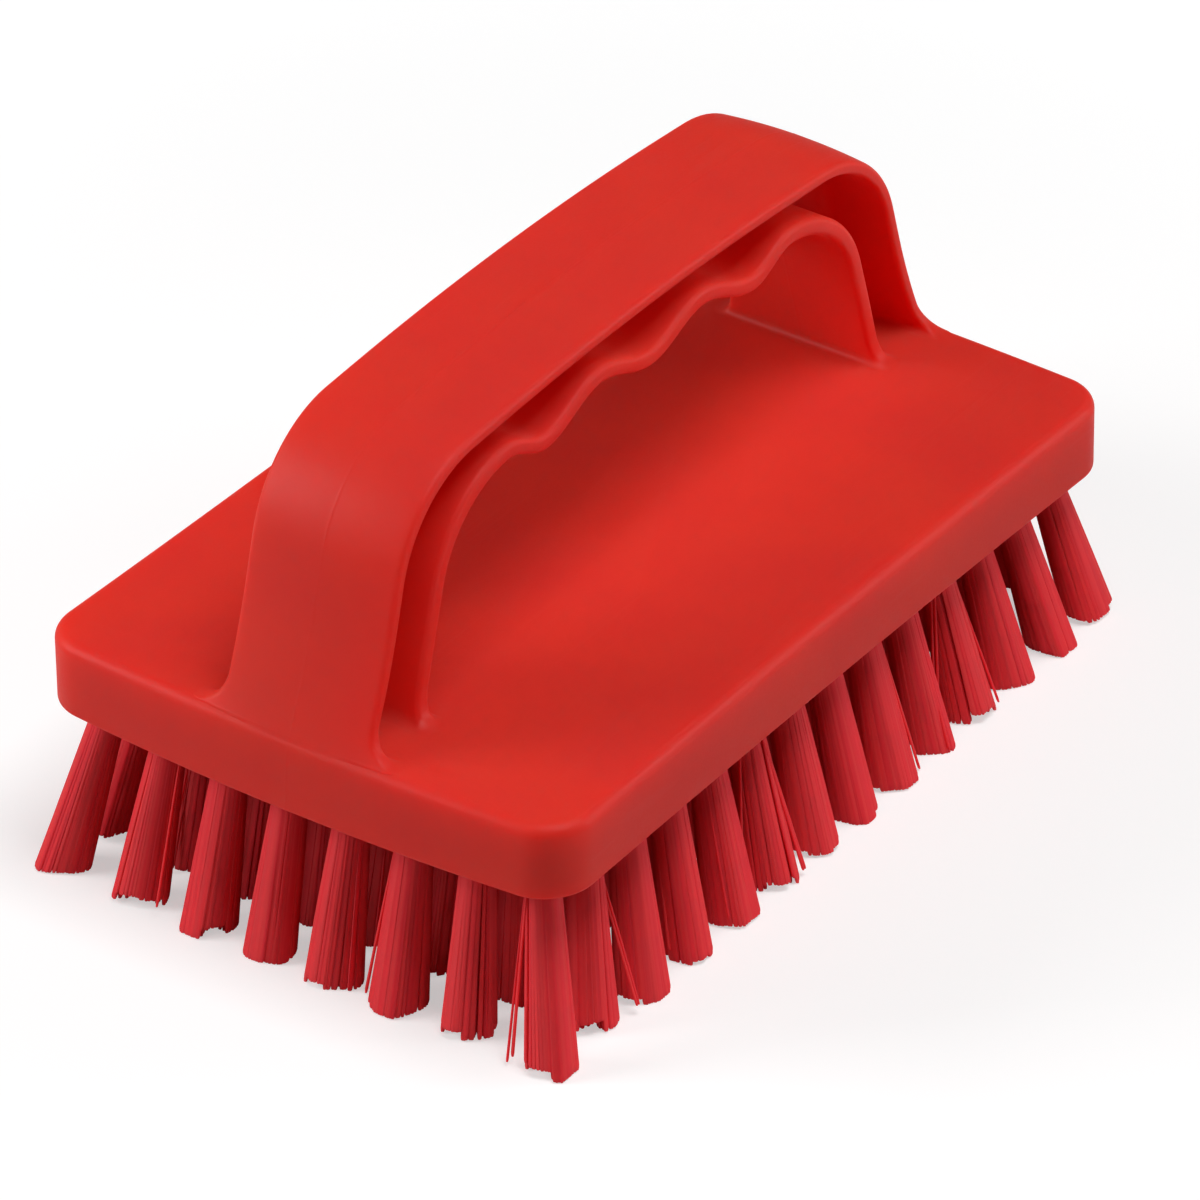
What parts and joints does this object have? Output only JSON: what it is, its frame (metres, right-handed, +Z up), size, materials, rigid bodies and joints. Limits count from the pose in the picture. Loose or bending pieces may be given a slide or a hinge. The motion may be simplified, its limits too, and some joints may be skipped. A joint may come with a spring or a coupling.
{
  "type": "scrubbing hand brush",
  "caption": "Red plastic scrubbing brush: a rounded rectangular block with a bridge handle, a wavy finger grip and rows of stiff bristle tufts",
  "frame": {"origin": "Under the middle of the brush, on the flat surface that the bristle tips stand on", "axes": "X runs along the brush and its handle, Y across the block, Z up from the bristle tips to the handle"},
  "size_m": [0.1583, 0.1013, 0.0883],
  "materials": {
    "moulded_red_plastic": "satin injection-moulded polypropylene",
    "red_bristle": "stiff extruded plastic filaments with cut ends"
  },
  "bodies": {
    "root": {"brush_body": "moulded_red_plastic", "bristle_row_01": "red_bristle", "bristle_row_02": "red_bristle", "bristle_row_03": "red_bristle", "bristle_row_04": "red_bristle", "bristle_row_05": "red_bristle", "bristle_row_06": "red_bristle", "bristle_row_07": "red_bristle", "bristle_row_08": "red_bristle", "bristle_row_09": "red_bristle", "bristle_row_10": "red_bristle", "bristle_row_11": "red_bristle", "bristle_row_12": "red_bristle", "bristle_row_13": "red_bristle", "bristle_row_14": "red_bristle"}
  },
  "joints": []
}
